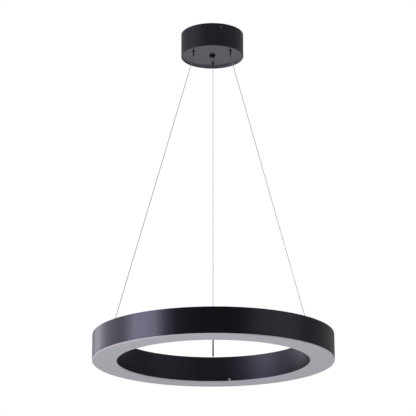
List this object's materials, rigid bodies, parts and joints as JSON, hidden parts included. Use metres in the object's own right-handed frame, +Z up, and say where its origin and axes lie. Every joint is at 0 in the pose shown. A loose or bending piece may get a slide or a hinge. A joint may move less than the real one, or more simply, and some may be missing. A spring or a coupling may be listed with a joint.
{
  "type": "led ring chandelier",
  "caption": "Black ring pendant on steel wires with an opal diffuser underneath and a round ceiling canopy with wire grippers.",
  "frame": {"origin": "centre of the ceiling bracket, in the ceiling plane that the canopy rim and the bracket lie against", "axes": "+Z up into the ceiling, +Y towards the rear wire, +X to the right when the rear wire is furthest away"},
  "size_m": [0.6, 0.6, 0.873],
  "materials": {
    "black_canopy": "satin",
    "black_aluminium": "satin",
    "bare_aluminium": "satin",
    "zinc_steel": "satin",
    "black_screws": "gloss",
    "steel": "polished",
    "spring_steel": "polished",
    "wire_steel": "satin",
    "brass": "satin",
    "black_brass": "satin",
    "black_nylon": "matte",
    "seal_rubber": "matte",
    "sleeve_rubber": "matte",
    "terminal_nylon": "satin",
    "driver_case": "satin",
    "white_board": "satin",
    "led_yellow": "satin",
    "opal": "satin"
  },
  "bodies": {
    "canopy": {"canopy_shell": "black_canopy", "ceiling_bracket": "zinc_steel", "canopy_side_screws": "black_screws", "led_driver": "driver_case", "driver_screws": "zinc_steel", "terminal_block": "terminal_nylon", "earth_terminal": "brass", "cord_gland_body": "black_nylon", "cord_gland_cap": "black_nylon", "cord_gland_seal": "seal_rubber", "cord_gland_locknut": "black_nylon", "gripper_bodies": "black_brass", "gripper_nuts": "black_brass", "gripper_end_caps": "brass", "gripper_spring_left": "spring_steel", "gripper_spring_right": "spring_steel", "gripper_spring_rear": "spring_steel", "suspension_wire_left": "wire_steel", "suspension_wire_right": "wire_steel", "suspension_wire_rear": "wire_steel", "rear_wire_sleeve": "sleeve_rubber"},
    "ring": {"ring_housing": "black_aluminium", "led_tray": "bare_aluminium", "tray_screws": "zinc_steel", "led_boards": "white_board", "led_chips": "led_yellow", "diffuser": "opal", "diffuser_screws": "steel", "anchor_studs": "black_brass", "anchor_caps": "black_brass", "anchor_nuts": "zinc_steel", "wire_end_balls": "steel", "inlet_gland_body": "black_nylon", "inlet_gland_cap": "black_nylon", "inlet_gland_seal": "seal_rubber", "inlet_gland_locknut": "black_nylon", "led_connector": "terminal_nylon"},
    "nozzle_left": {"gripper_plunger_left": "black_brass", "clamp_balls_left": "steel"},
    "nozzle_right": {"gripper_plunger_right": "black_brass", "clamp_balls_right": "steel"},
    "nozzle_rear": {"gripper_plunger_rear": "black_brass", "clamp_balls_rear": "steel"}
  },
  "joints": [
    {"name": "ring_height", "type": "slide", "parent": "canopy", "child": "ring", "axis": [0, 0, 1], "range_m": [0, 0.4], "deforming": ["suspension_wire_left", "suspension_wire_right", "suspension_wire_rear", "rear_wire_sleeve"]},
    {"name": "nozzle_press_left", "type": "slide", "parent": "canopy", "child": "nozzle_left", "axis": [0, 0, 1], "range_m": [0, 0.0022], "stiffness_N_per_m": 500, "springref_m": -0.004, "deforming": ["gripper_spring_left"]},
    {"name": "nozzle_press_right", "type": "slide", "parent": "canopy", "child": "nozzle_right", "axis": [0, 0, 1], "range_m": [0, 0.0022], "stiffness_N_per_m": 500, "springref_m": -0.004, "deforming": ["gripper_spring_right"]},
    {"name": "nozzle_press_rear", "type": "slide", "parent": "canopy", "child": "nozzle_rear", "axis": [0, 0, 1], "range_m": [0, 0.0022], "stiffness_N_per_m": 500, "springref_m": -0.004, "deforming": ["gripper_spring_rear"]}
  ]
}
